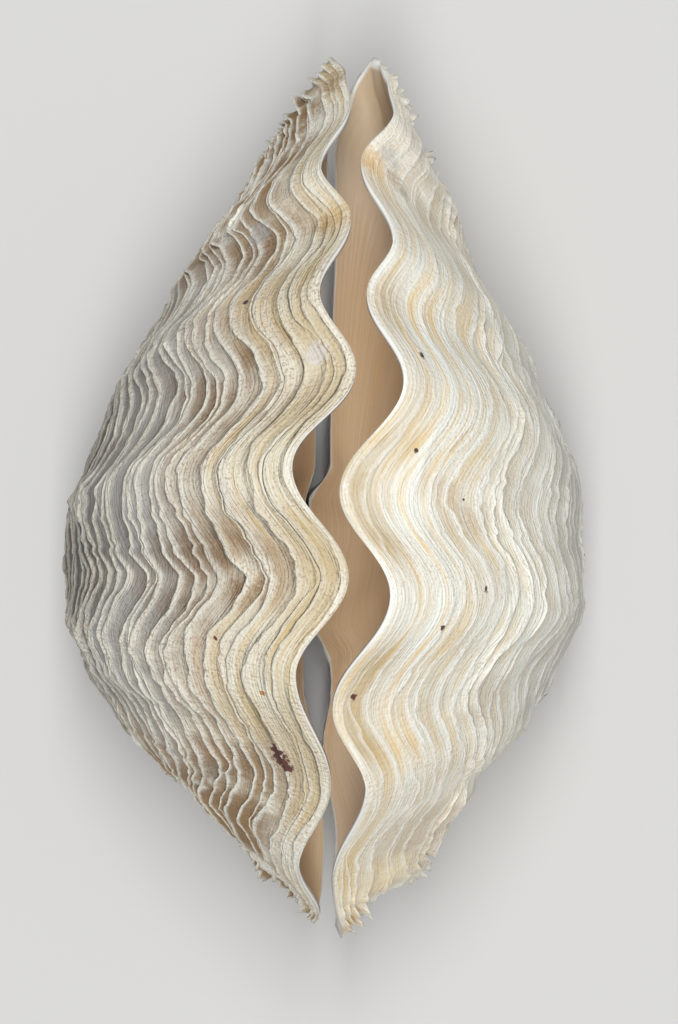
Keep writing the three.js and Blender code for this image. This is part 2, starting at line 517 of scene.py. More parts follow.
    @property
    def crest(self) -> np.ndarray:
        """How far each station is on a rib (1) or in a groove or at an end (-1)."""
        return np.clip(self.wave / self.ribs.full_wave - self.ribs.tip_drop * self.tips, -1.0, 1.0)

    @property
    def map_length(self) -> float:
        """Length of the loop on the surface map."""
        return self.arc[-1] / MAP_UNIT

    def plate_lines(self, wobble: Wobble) -> np.ndarray:
        """Turn of each lamella at each station, unevenly spaced and wandering.

        Args:
            wobble: Random values of this valve.

        Returns:
            A row for each lamella, after a row of zeros for the margin.
        """
        plates = self.lamellae
        count = plates.count + 1
        index = np.arange(count) + wobble.random.uniform(-plates.jitter, plates.jitter, count)
        index[0] = 0.0
        line = plates.end_turn * (np.clip(index, 0.0, None) / plates.count) ** plates.crowding
        space = np.gradient(plates.end_turn * (np.arange(count) / plates.count) ** plates.crowding)
        shift = sum(share * wobble.rows(count, waves) for share, waves in plates.wander_waves)
        shift[0] = 0.0
        lines = line[:, None] + plates.wander * space[:, None] * shift
        gaps = np.maximum(np.diff(lines, axis=0), plates.closest * space[1:, None])
        return np.vstack([np.zeros(self.columns), np.cumsum(gaps, axis=0)])

    def plate_heights(self, lines: np.ndarray, wobble: Wobble) -> np.ndarray:
        """Height of each lamella at each station, in millimetres.

        Args:
            lines: Turns of the lamellae.
            wobble: Random values of this valve.

        Returns:
            An array of the same shape as the lines.
        """
        plates = self.lamellae
        count = len(lines)
        minor = wobble.random.uniform(*plates.minor, (count, 1))
        major = wobble.random.uniform(*plates.major, (count, 1))
        strength = np.where(wobble.random.random((count, 1)) < plates.major_share, major, minor)
        patch = plates.patch_base + plates.patch_spread * wobble.patches(count, *plates.patch_knots)
        flutes = 1 + plates.flutes * wobble.rows(count, plates.flute_waves)
        flank = np.abs(np.gradient(self.wave))
        flank = flank / flank.max()
        rib = plates.rib_base + plates.rib_gain * self.crest - plates.flank_loss * flank
        frills = 1 + plates.frill_spread * wobble.rows(count, plates.frill_waves)
        jag = 1 + plates.frill * self.tips * frills
        fresh = plates.youngest + (1 - plates.youngest) * smooth(lines, *plates.fresh_turns)
        fresh = fresh + plates.tip_scales * self.tips * (1 - fresh)
        worn = 1 - plates.worn_loss * smooth(lines, *plates.worn_turns)
        edge = smooth(self.z, *plates.smooth_heights)
        crowd = np.clip(np.gradient(lines, axis=0) / plates.usual_gap, *plates.crowd)
        scale = self.growth.scale(lines)
        shape = strength * patch * flutes * rib * jag
        return plates.height * shape * fresh * worn * edge * scale * crowd

    def outside_sheet(self) -> Sheet:
        """The outside, from the margin to the beak, with every lamella standing off it.

        Returns:
            The sheet, with the margin as its first row and the closed beak as its last.
        """
        wobble = Wobble(self.seed, self.columns)
        plates = self.lamellae
        lines = self.plate_lines(wobble)
        heights = self.plate_heights(lines, wobble)
        sharpness = wobble.patches(len(lines), *plates.sharpness_knots)
        sharpness = plates.sharpness + plates.sharpness_spread * sharpness
        tones = plates.tone + plates.tone_along * wobble.rows(len(lines), plates.tone_waves)
        tones = tones + wobble.random.uniform(-plates.tone_between, plates.tone_between, (len(lines), 1))
        level = np.zeros(self.columns)
        turns, lifts, shares, tints = [level], [level], [level + EDGE_SHARE], [tones[0]]
        for plate in range(plates.count):
            space = lines[plate + 1] - lines[plate]
            top = heights[plate + 1]
            valley = plates.valley * smooth(lines[plate], *plates.valley_turns)
            for share in plates.shares:
                turns.append(lines[plate] + share * space)
                sag = valley * (1 - share) ** plates.valley_power
                lifts.append(top * (share ** sharpness[plate] - sag))
                shares.append(level + share)
                tints.append(tones[plate])
            turns.append(lines[plate] + plates.overhang * space)
            lifts.append(top * plates.overhang_height)
            shares.append(level + 1.0)
            tints.append(tones[plate])
        last = turns[-1]
        for step in range(1, plates.worn_rows + 1):
            turns.append(last + (self.growth.beak_turn - last) * step / plates.worn_rows)
            lifts.append(level)
            shares.append(level + plates.worn_share)
            tints.append(tones[-1])
        turn, lift = np.array(turns), np.array(lifts)
        lumps = wobble.patches(len(turn), *plates.lump_knots)
        lumps = lumps * smooth(turn, *plates.valley_turns)
        lift = lift + plates.lumps * lumps
        scale = self.growth.scale(turn)
        off = self.ribs.relief * self.wave * scale**self.ribs.fade + lift
        points = self.outside(turn) + self.normals(turn) * off[..., None]
        station, height = self.growth.beak
        beak = self.turned(np.full(self.columns, station), height, self.growth.beak_turn, 0.0)
        layers = {"share": np.array(shares), "growth": turn, "tone": np.array(tints)}
        layers = {name: np.vstack([rows, rows[-1:]]) for name, rows in layers.items()}
        layers["crest"] = np.broadcast_to(self.crest, layers["growth"].shape)
        layers["ends"] = np.broadcast_to(self.ends, layers["growth"].shape)
        places = self.placed(np.concatenate([points, beak[None]]))
        return Sheet(places, layers, self.sheet_uv(layers["growth"]))

    def sheet_uv(self, turn: np.ndarray) -> np.ndarray:
        """Way along the loop and down from the margin, as a map.

        Args:
            turn: Rows of turns from the margin.

        Returns:
            A pair at each station, for each turn, in units of the map.
        """
        down = self.profile.map_depth * (1 - self.growth.scale(turn))
        along = np.broadcast_to(self.arc / MAP_UNIT, turn.shape)
        return np.stack([along, down], -1)

    def inside_sheet(self, edge: np.ndarray) -> Sheet:
        """The inside, from the edge that it shares with the outside to the cavity's middle.

        Args:
            edge: Placed points of the shared edge.

        Returns:
            The sheet, with the edge as its first row.
        """
        wall = self.wall
        ring = np.linspace(0.0, 1.0, wall.rings + 1)[:, None] ** wall.ring_power
        distance = np.hypot(wall.centre[0] - self.y, wall.centre[1] - self.z)
        opened = (1 - ring**wall.rounding) ** (1 / wall.rounding)
        inward = 1 - (1 - self.edge_wall / distance) * opened
        fade = (1 - ring) ** 2
        turn = np.broadcast_to(wall.turn * ring, (len(ring), self.columns))
        y = self.y + (wall.centre[0] - self.y) * inward
        z = self.z + (wall.centre[1] - self.z) * inward
        points = self.turned(y, z, turn, self.lean * fade)
        points += self.normals(turn) * (self.ribs.relief * self.wave * fade)[..., None]
        places = np.concatenate([edge[None], self.placed(points)])
        places[-1] = places[-1].mean(axis=0)
        shape = (len(places), self.columns)
        layers = {
            "share": np.full(shape, EDGE_SHARE),
            "growth": np.vstack([turn[:1], turn]),
            "tone": np.full(shape, self.lamellae.tone),
            "crest": np.broadcast_to(self.crest, shape),
            "ends": np.broadcast_to(self.ends, shape),
        }
        return Sheet(places, layers, self.sheet_uv(layers["growth"]))


class ShaderNodes:
    """Adds and links the shader nodes of one material."""

    def __init__(self, name: str) -> None:
        """Starts a material with a Principled shader and the place on the object, in metres.

        Args:
            name: Name of the material.
        """
        self.material = bpy.data.materials.new(name)
        self.material.use_nodes = True
        self.tree = self.material.node_tree
        self.shader = self.tree.nodes["Principled BSDF"]
        self.place = self.tree.nodes.new("ShaderNodeTexCoord").outputs["Object"]
        self.attributes: dict[str, Socket] = {}

    def add(self, kind: str, **inputs: object) -> bpy.types.Node:
        """Adds a node and sets or links its inputs by name.

        Args:
            kind: Type of the node.
            **inputs: Values or sockets, with underscores for the spaces of input names.

        Returns:
            The node.
        """
        node = self.tree.nodes.new(kind)
        for name, value in inputs.items():
            self.feed(node.inputs[name.replace("_", " ")], value)
        return node

    def feed(self, socket: Socket, value: object) -> None:
        """Links a socket to an input, or sets the input to a value.

        Args:
            socket: Input of a node.
            value: Output of another node, or a plain value.
        """
        if isinstance(value, Socket):
            self.tree.links.new(value, socket)
        else:
            socket.default_value = value

    def attribute(self, name: str) -> Socket:
        """Value of a float attribute of the mesh, from one node for each name.

        Args:
            name: Name of the attribute.

        Returns:
            The socket of its value.
        """
        if name not in self.attributes:
            node = self.tree.nodes.new("ShaderNodeAttribute")
            node.attribute_name = name
            self.attributes[name] = node.outputs["Fac"]
        return self.attributes[name]

    def noise(self, scale: float, detail: float, place: Socket | None = None) -> Socket:
        """Smooth noise between 0 and 1, in waves for each metre of the object or unit of a place."""
        node = self.add("ShaderNodeTexNoise", Vector=place or self.place, Scale=scale, Detail=detail)
        return node.outputs["Fac"]

    def streaks(self, along: float, down: float, detail: float) -> Socket:
        """Noise on the piece's own map, in waves along the growth lines and down from the margin.

        Args:
            along: Waves in one unit of the map along the growth lines.
            down: Waves in one unit of the map down from the margin.
            detail: Detail of the noise.

        Returns:
            The noise, between 0 and 1.
        """
        uv = self.tree.nodes.new("ShaderNodeUVMap")
        uv.uv_map = "surface"
        mapping = self.add("ShaderNodeMapping", Vector=uv.outputs["UV"], Scale=(along, down, 1.0))
        return self.noise(1.0, detail, mapping.outputs["Vector"])

    def rise(self, value: object, span: Span) -> Socket:
        """Smooth step of a value, from 0 at the start of a span to 1 at its end.

        Args:
            value: Value that takes the step.
            span: Start and end of the step.

        Returns:
            The step.
        """
        node = self.add("ShaderNodeMapRange", Value=value, From_Min=span[0], From_Max=span[1])
        node.interpolation_type = "SMOOTHSTEP"
        return node.outputs["Result"]

    def fall(self, value: object, span: Span) -> Socket:
        """Smooth step of a value, from 1 at the start of a span to 0 at its end."""
        return self.math("SUBTRACT", 1.0, self.rise(value, span))

    def math(self, operation: str, first: object, second: object = 0.0) -> Socket:
        """Result of an operation on one or two values.

        Args:
            operation: Name of the operation.
            first: First value.
            second: Second value, where the operation has one.

        Returns:
            The result.
        """
        node = self.tree.nodes.new("ShaderNodeMath")
        node.operation = operation
        self.feed(node.inputs[0], first)
        self.feed(node.inputs[1], second)
        return node.outputs["Value"]

    def product(self, *values: object) -> Socket:
        """Product of two or more values.

        Args:
            *values: Values or sockets.

        Returns:
            The product.
        """
        result = values[0]
        for value in values[1:]:
            result = self.math("MULTIPLY", result, value)
        return result

    def mix(self, share: object, first: object, second: object) -> Socket:
        """Blend from the first colour to the second.

        Args:
            share: Share of the second colour.
            first: First colour.
            second: Second colour.

        Returns:
            The blended colour.
        """
        node = self.tree.nodes.new("ShaderNodeMix")
        node.data_type = "RGBA"
        self.feed(node.inputs[0], share)
        for socket, value in ((node.inputs[6], first), (node.inputs[7], second)):
            self.feed(socket, (*value, 1.0) if isinstance(value, tuple) else value)
        return node.outputs[2]

    def finish(self, colour: Socket, roughness: float, height: Socket, relief: float) -> None:
        """Sets the shader's colour, roughness and bump.

        Args:
            colour: Colour of the surface.
            roughness: Roughness of the surface.
            height: Height of the fine surface, between 0 and 1.
            relief: How far that height stands, in metres.
        """
        self.tree.links.new(colour, self.shader.inputs["Base Color"])
        self.shader.inputs["Roughness"].default_value = roughness
        bump = self.add("ShaderNodeBump", Height=height, Distance=relief, Strength=1.0)
        self.tree.links.new(bump.outputs["Normal"], self.shader.inputs["Normal"])


@dataclass(frozen=True)
class Mark:
    """One spot, scar or soft patch on the outside: its place and size in metres, and its colour."""

    place: Place
    radius: float
    colour: Colour
    strength: float = 1.0
    fade: Span = CRISP
    ragged: float = 2.4


@dataclass(frozen=True)
class OutsideFinish:
    """Chalky outside: cream plates, honey in the grooves by the margin, stain in the hollows.

    A span is where a smooth step starts and ends. Growth is the turn from the margin in radians,
    share the way across a plate from its foot to its lip, and crest runs from -1 in a groove to 1
    on a rib. Patches, bands, grains and specks are spans of the noise above them.
    """

    name: str
    marks: tuple[Mark, ...]
    # Chalk of the plates.
    fresh: Colour = (0.84, 0.80, 0.66)
    cream: Colour = (0.64, 0.585, 0.47)
    warm: Colour = (0.56, 0.46, 0.34)
    warm_noise: Noise = (70.0, 3.0)
    warm_patches: Span = (0.42, 0.66)
    fresh_noise: Noise = (36.0, 3.0)
    fresh_shift: float = 0.3
    fresh_growth: Span = (0.2, 0.42)
    # Yellow bands and thin brown streaks along the growth lines, strongest on the flanks.
    ochre: Colour = (0.66, 0.49, 0.23)
    ochre_share: float = 0.8
    streak: Colour = (0.42, 0.26, 0.10)
    streak_share: float = 0.55
    band_growth: Span = (0.05, 0.6)
    band_tone: float = 0.25
    flank_strength: float = 1.15
    crest_loss: float = 0.6
    ochre_streaks: Streaks = (0.2, 2.4, 3.0)
    ochre_bands: Span = (0.58, 0.74)
    thin_streaks: Streaks = (0.35, 7.0, 2.0)
    streak_bands: Span = (0.6, 0.72)
    # Grey weathering, and the darker slate of the oldest growth.
    grey: Colour = (0.38, 0.38, 0.365)
    age_noise: Noise = (26.0, 3.0)
    age_shift: float = 0.5
    grey_growth: Span = (0.22, 0.55)
    grey_share: float = 0.92
    slate: Colour = (0.085, 0.084, 0.079)
    slate_growth: Span = (0.48, 0.9)
    # White growth at the two ends, and the brown cups between its plates.
    white: Colour = CHALK
    white_share: float = 0.9
    white_growth: Span = (0.35, 1.2)
    white_noise: Noise = (45.0, 3.0)
    white_patches: Span = (0.25, 0.5)
    hollow: Colour = (0.28, 0.16, 0.06)
    hollow_share: float = 0.95
    hollow_noise: Noise = (60.0, 3.0)
    hollow_patches: Span = (0.36, 0.52)
    hollow_growth: Span = (0.05, 0.2)
    hollow_across: Span = (0.74, 1.0)
    # Honey beside the white edge of the margin, weaker on the ribs and between its patches.
    honey: Colour = (0.53, 0.41, 0.215)
    honey_share: float = 0.75
    honey_inner: Span = (0.008, 0.03)
    honey_outer: Span = (0.05, 0.18)
    honey_noise: Noise = (28.0, 2.0)
    honey_patches: Span = (0.3, 0.58)
    honey_between: float = 0.6
    honey_on_ribs: float = 0.4
    rib_crest: Span = (-0.3, 0.7)
    # Lips of the plates, weaker on young and old growth, and the edge of the margin.
    lip: Colour = (0.74, 0.71, 0.61)
    lip_share: float = 0.9
    lip_noise: Noise = (160.0, 2.0)
    lip_rub: float = 0.35
    lip_across: Span = (0.78, 1.12)
    young_lip: float = 0.5
    young_growth: Span = (0.05, 0.3)
    old_lip: float = 0.35
    old_growth: Span = (0.5, 1.0)
    rim: Colour = (0.62, 0.57, 0.46)
    rim_growth: Span = (0.002, 0.01)
    # Dirt and painted shade at the foot of each plate, in the hollow under the neighbouring lip.
    shade: Colour = (0.27, 0.255, 0.225)
    shade_share: float = 0.6
    shade_growth: Span = (0.03, 0.45)
    shade_across: Span = (0.0, 0.7)
    # Brown stain in the grooves, which fades by the margin and among the oldest growth.
    brown: Colour = (0.19, 0.12, 0.065)
    brown_growth: Span = (0.12, 0.35)
    stain_share: float = 0.9
    stain_growth: Span = (0.02, 0.22)
    stain_fade: Span = (0.3, 0.65)
    stain_loss: float = 0.8
    stain_crest: Span = (-0.8, 0.6)
    stain_noise: Noise = (40.0, 3.0)
    stain_patches: Span = (0.42, 0.58)
    stain_across: Span = (0.55, 0.97)
    speck_noise: Noise = (900.0, 3.0)
    specks: Span = (0.1, 0.5)
    # Peach and brown grains.
    grain: Colour = (0.36, 0.23, 0.14)
    grain_share: float = 0.6
    grain_noise: Noise = (1100.0, 3.0)
    grains: Span = (0.54, 0.64)
    grain_patch_noise: Noise = (55.0, 3.0)
    grain_patches: Span = (0.36, 0.62)
    # Ragged edges of the marks.
    mark_noise: Noise = (600.0, 3.0)
    # Fine surface: growth lines, radial scratches and grit, with the height of each.
    line_streaks: Streaks = (0.6, 11.0, 4.0)
    line_height: float = 0.8
    scratch_streaks: Streaks = (8.0, 0.9, 3.0)
    scratch_height: float = 0.3
    grit_noise: Noise = (700.0, 4.0)
    grit_height: float = 0.6
    roughness: float = 0.75
    relief: float = 0.0012

    def make(self) -> bpy.types.Material:
        """Builds the material.

        Returns:
            The material, which reads the piece's map and attributes.
        """
        nodes = ShaderNodes(self.name)
        patch = nodes.rise(nodes.noise(*self.warm_noise), self.warm_patches)
        colour = nodes.mix(patch, self.cream, self.warm)
        patch = nodes.product(nodes.noise(*self.fresh_noise), self.fresh_shift)
        patch = nodes.math("ADD", nodes.attribute("growth"), patch)
        colour = nodes.mix(nodes.rise(patch, self.fresh_growth), self.fresh, colour)
        coats = (
            self.add_bands, self.add_age, self.add_white_ends, self.add_honey, self.add_lips,
            self.add_foot_dirt_and_shade, self.add_stain, self.add_cups, self.add_grain, self.add_marks,
        )
        for coat in coats:
            colour = coat(nodes, colour)
        nodes.finish(colour, self.roughness, self.fine_height(nodes), self.relief)
        return nodes.material

    def add_bands(self, nodes: ShaderNodes, colour: Socket) -> Socket:
        """Yellow bands and thin brown streaks along the growth lines, strongest near the margin.

        Args:
            nodes: Nodes of the material.
            colour: Colour of the chalk.

        Returns:
            The colour with the bands and streaks.
        """
        tone = nodes.product(nodes.attribute("tone"), self.band_tone)
        band = nodes.math("ADD", nodes.streaks(*self.ochre_streaks), tone)
        near = nodes.fall(nodes.attribute("growth"), self.band_growth)
        flank = nodes.product(nodes.math("ABSOLUTE", nodes.attribute("crest")), self.crest_loss)
        flank = nodes.math("SUBTRACT", self.flank_strength, flank)
        wide = nodes.product(nodes.rise(band, self.ochre_bands), near, flank, self.ochre_share)
        colour = nodes.mix(wide, colour, self.ochre)
        thin = nodes.rise(nodes.streaks(*self.thin_streaks), self.streak_bands)
        return nodes.mix(nodes.product(thin, near, flank, self.streak_share), colour, self.streak)

    def add_age(self, nodes: ShaderNodes, colour: Socket) -> Socket:
        """Grey weathering, which darkens towards the sides.

        Args:
            nodes: Nodes of the material.
            colour: Colour before weathering.

        Returns:
            The weathered colour.
        """
        patch = nodes.product(nodes.noise(*self.age_noise), self.age_shift)
        patch = nodes.math("ADD", nodes.attribute("growth"), patch)
        patch = nodes.math("SUBTRACT", patch, self.age_shift / 2)
        grey = nodes.product(nodes.rise(patch, self.grey_growth), self.grey_share)
        colour = nodes.mix(grey, colour, self.grey)
        return nodes.mix(nodes.rise(patch, self.slate_growth), colour, self.slate)

    def add_white_ends(self, nodes: ShaderNodes, colour: Socket) -> Socket:
        """White growth at the two ends, which the weathering has left alone.

        Args:
            nodes: Nodes of the material.
            colour: Colour of the rest.

        Returns:
            The colour with the white ends.
        """
        young = nodes.fall(nodes.attribute("growth"), self.white_growth)
        patch = nodes.rise(nodes.noise(*self.white_noise), self.white_patches)
        white = nodes.product(nodes.attribute("ends"), young, patch, self.white_share)
        return nodes.mix(white, colour, self.white)

    def add_honey(self, nodes: ShaderNodes, colour: Socket) -> Socket:
        """Honey-coloured zone beside the edge of the margin, and ochre at the ends.

        Args:
            nodes: Nodes of the material.
            colour: Colour of the rest.

        Returns:
            The colour with the zone.
        """
        growth = nodes.attribute("growth")
        rib = nodes.rise(nodes.attribute("crest"), self.rib_crest)
        groove = nodes.math("SUBTRACT", 1.0, nodes.product(rib, 1.0 - self.honey_on_ribs))
        patch = nodes.rise(nodes.noise(*self.honey_noise), self.honey_patches)
        patch = nodes.product(patch, 1.0 - self.honey_between)
        patch = nodes.math("ADD", patch, self.honey_between)
        inner, outer = nodes.rise(growth, self.honey_inner), nodes.fall(growth, self.honey_outer)
        zone = nodes.product(inner, outer, patch, groove, self.honey_share)
        honey = nodes.mix(nodes.attribute("ends"), self.honey, self.ochre)
        return nodes.mix(zone, colour, honey)

    def add_lips(self, nodes: ShaderNodes, colour: Socket) -> Socket:
        """Pale lips of the plates, rubbed unevenly, and the edge of the margin.

        Args:
            nodes: Nodes of the material.
            colour: Colour between the lips.

        Returns:
            The colour with the lips and the edge.
        """
        growth, ends = nodes.attribute("growth"), nodes.attribute("ends")
        rubbed = nodes.product(nodes.noise(*self.lip_noise), self.lip_rub)
        rubbed = nodes.math("ADD", nodes.attribute("share"), rubbed)
        old = nodes.product(nodes.rise(growth, self.old_growth), self.old_lip)
        middle = nodes.math("SUBTRACT", 1.0, ends)
        young = nodes.product(nodes.fall(growth, self.young_growth), self.young_lip, middle)
        strength = nodes.math("SUBTRACT", nodes.math("SUBTRACT", self.lip_share, old), young)
        lip = nodes.mix(ends, self.lip, self.white)
        colour = nodes.mix(nodes.product(nodes.rise(rubbed, self.lip_across), strength), colour, lip)
        rim = nodes.mix(nodes.rise(nodes.attribute("crest"), self.rib_crest), self.rim, self.lip)
        return nodes.mix(nodes.fall(growth, self.rim_growth), colour, rim)

    def add_foot_dirt_and_shade(self, nodes: ShaderNodes, colour: Socket) -> Socket:
        """Dirt and painted shade at the foot of each plate.

        Args:
            nodes: Nodes of the material.
            colour: Colour of the clean plates.

        Returns:
            The colour with the dirt and painted shade.
        """
        old = nodes.rise(nodes.attribute("growth"), self.shade_growth)
        foot = nodes.fall(nodes.attribute("share"), self.shade_across)
        # Painted shade mixed with dirt: darker at the foot of each plate, more so on older growth.
        return nodes.mix(nodes.product(foot, old, self.shade_share), colour, self.shade)

    def add_stain(self, nodes: ShaderNodes, colour: Socket) -> Socket:
        """Brown stain between the plates, in patches of the grooves.

        Args:
            nodes: Nodes of the material.
            colour: Colour before the stain.

        Returns:
            The stained colour.
        """
        growth = nodes.attribute("growth")
        across = nodes.fall(nodes.attribute("share"), self.stain_across)
        patch = nodes.rise(nodes.noise(*self.stain_noise), self.stain_patches)
        groove = nodes.fall(nodes.attribute("crest"), self.stain_crest)
        specks = nodes.rise(nodes.noise(*self.speck_noise), self.specks)
        stain = nodes.product(across, patch, groove, specks, self.stain_share)
        oldest = nodes.product(nodes.rise(growth, self.stain_fade), self.stain_loss)
        oldest = nodes.math("SUBTRACT", 1.0, oldest)
        stain = nodes.product(stain, nodes.rise(growth, self.stain_growth), oldest)
        brown = nodes.mix(nodes.rise(growth, self.brown_growth), self.hollow, self.brown)
        return nodes.mix(stain, colour, brown)

    def add_cups(self, nodes: ShaderNodes, colour: Socket) -> Socket:
        """Brown cups between the plates of the two ends.

        Args:
            nodes: Nodes of the material.
            colour: Colour of the rest.

        Returns:
            The colour with the cups.
        """
        patch = nodes.rise(nodes.noise(*self.hollow_noise), self.hollow_patches)
        grown = nodes.rise(nodes.attribute("growth"), self.hollow_growth)
        across = nodes.fall(nodes.attribute("share"), self.hollow_across)
        cups = nodes.product(patch, grown, across, nodes.attribute("ends"), self.hollow_share)
        return nodes.mix(cups, colour, self.hollow)

    def add_grain(self, nodes: ShaderNodes, colour: Socket) -> Socket:
        """Peach and brown grains, in patches.

        Args:
            nodes: Nodes of the material.
            colour: Colour under the grains.

        Returns:
            The colour with the grains.
        """
        grains = nodes.rise(nodes.noise(*self.grain_noise), self.grains)
        patch = nodes.rise(nodes.noise(*self.grain_patch_noise), self.grain_patches)
        return nodes.mix(nodes.product(grains, patch, self.grain_share), colour, self.grain)

    def add_marks(self, nodes: ShaderNodes, colour: Socket) -> Socket:
        """Spots, scars and soft patches, with ragged edges.

        Args:
            nodes: Nodes of the material.
            colour: Colour under the marks.

        Returns:
            The colour with the marks.
        """
        ragged = nodes.noise(*self.mark_noise)
        for mark in self.marks:
            distance = nodes.tree.nodes.new("ShaderNodeVectorMath")
            distance.operation = "DISTANCE"
            nodes.feed(distance.inputs[0], nodes.place)
            distance.inputs[1].default_value = mark.place
            edge = nodes.product(ragged, mark.ragged * mark.radius)
            edge = nodes.math("ADD", distance.outputs["Value"], edge)
            spot = nodes.fall(edge, (mark.fade[0] * mark.radius, mark.fade[1] * mark.radius))
            colour = nodes.mix(nodes.product(spot, mark.strength), colour, mark.colour)
        return colour

    def fine_height(self, nodes: ShaderNodes) -> Socket:
        """Fine growth lines, radial scratches and grit, as a height.

        Args:
            nodes: Nodes of the material.

        Returns:
            The height.
        """
        lines = nodes.product(nodes.streaks(*self.line_streaks), self.line_height)
        scratches = nodes.product(nodes.streaks(*self.scratch_streaks), self.scratch_height)
        grit = nodes.product(nodes.noise(*self.grit_noise), self.grit_height)
        return nodes.math("ADD", nodes.math("ADD", lines, scratches), grit)


@dataclass(frozen=True)
class InsideFinish:
    """Smooth porcelain-like inside, with faint streaks and a white rim."""

    name: str
    tan: Colour = (0.86, 0.62, 0.37)
    pale: Colour = (0.88, 0.66, 0.42)
    pale_streaks: Streaks = (0.05, 1.1, 2.0)
    pale_bands: Span = (0.35, 0.65)
    deep: Colour = (0.80, 0.52, 0.28)
    deep_share: float = 0.35
    cloud_noise: Noise = (14.0, 3.0)
    clouds: Span = (0.5, 0.8)
    # Greyer ends, as distances in metres from the origin along the hinge.
    end: Colour = (0.49, 0.39, 0.27)
    long_end: Span = (0.05, 0.125)
    long_share: float = 0.8
    short_end: Span = (0.06, 0.115)
    short_share: float = 0.4
    rim: Colour = (0.86, 0.84, 0.79)
    rim_growth: Span = (0.0, 0.02)
    fine_streaks: Streaks = (0.1, 1.6, 1.0)
    roughness: float = 0.42
    relief: float = 0.00015

    def make(self) -> bpy.types.Material:
        """Builds the material.

        Returns:
            The material, which reads the piece's map and attributes.
        """
        nodes = ShaderNodes(self.name)
        streaks = nodes.rise(nodes.streaks(*self.pale_streaks), self.pale_bands)
        colour = nodes.mix(streaks, self.tan, self.pale)
        clouds = nodes.rise(nodes.noise(*self.cloud_noise), self.clouds)
        colour = nodes.mix(nodes.product(clouds, self.deep_share), colour, self.deep)
        station = nodes.add("ShaderNodeSeparateXYZ", Vector=nodes.place).outputs["Y"]
        long_end = nodes.product(nodes.rise(station, self.long_end), self.long_share)
        colour = nodes.mix(long_end, colour, self.end)
        short_end = nodes.rise(nodes.product(station, -1.0), self.short_end)
        colour = nodes.mix(nodes.product(short_end, self.short_share), colour, self.end)
        edge = nodes.fall(nodes.attribute("growth"), self.rim_growth)
        colour = nodes.mix(edge, colour, self.rim)
        nodes.finish(colour, self.roughness, nodes.streaks(*self.fine_streaks), self.relief)
        return nodes.material


@dataclass
class ValvePiece:
    """The mesh object of one valve."""

    node: str
    form: ValveForm
    outside: OutsideFinish
    inside: InsideFinish

    def add_sheet(self, shell: bmesh.types.BMesh, sheet: Sheet, slot: int) -> None:
        """Adds a sheet to the shell as a grid whose last column meets its first.

        Args:
            shell: Mesh that receives the sheet.
            sheet: Places and values of its vertices.
            slot: Material index of its faces.
        """
        rows, columns = sheet.places.shape[:2]
        layers = {name: shell.verts.layers.float[name] for name in sheet.layers}
        uv_layer = shell.loops.layers.uv["surface"]
        grid = bmesh.ops.create_grid(shell, x_segments=columns, y_segments=rows - 1, size=0.5)
        spots: dict[bmesh.types.BMVert, tuple[int, int]] = {}
        for index, vert in enumerate(grid["verts"]):
            row, column = divmod(index, columns + 1)
            spots[vert] = (row, column)
            vert.co = sheet.places[row, column % columns]
            for name, layer in layers.items():
                vert[layer] = sheet.layers[name][row, column % columns]
        for face in {face for vert in grid["verts"] for face in vert.link_faces}:
            face.material_index = slot
            face.smooth = True
            for loop in face.loops:
                row, column = spots[loop.vert]
                u, v = sheet.uv[row, column % columns]
                loop[uv_layer].uv = (u if column < columns else self.form.map_length, v)

    def build(self) -> bpy.types.Object:
        """Makes the closed mesh of the valve, with its finishes.

        Returns:
            The object, at the origin.
        """
        shell = bmesh.new()
        for name in ("share", "growth", "tone", "crest", "ends"):
            shell.verts.layers.float.new(name)
        shell.loops.layers.uv.new("surface")
        outer = self.form.outside_sheet()
        self.add_sheet(shell, outer, 0)
        self.add_sheet(shell, self.form.inside_sheet(outer.places[0]), 1)
        bmesh.ops.remove_doubles(shell, verts=shell.verts, dist=MERGE_DISTANCE)
        bmesh.ops.recalc_face_normals(shell, faces=shell.faces)
        mesh = bpy.data.meshes.new(self.node)
        shell.to_mesh(mesh)
        shell.free()
        mesh.materials.append(self.outside.make())
        mesh.materials.append(self.inside.make())
        piece = bpy.data.objects.new(f"{self.node}_shell", mesh)
        bpy.context.scene.collection.objects.link(piece)
        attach(piece, "root")
        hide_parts(self.node)
        log.info("%s: %d vertices, %d faces", piece.name, len(mesh.vertices), len(mesh.polygons))
        return piece


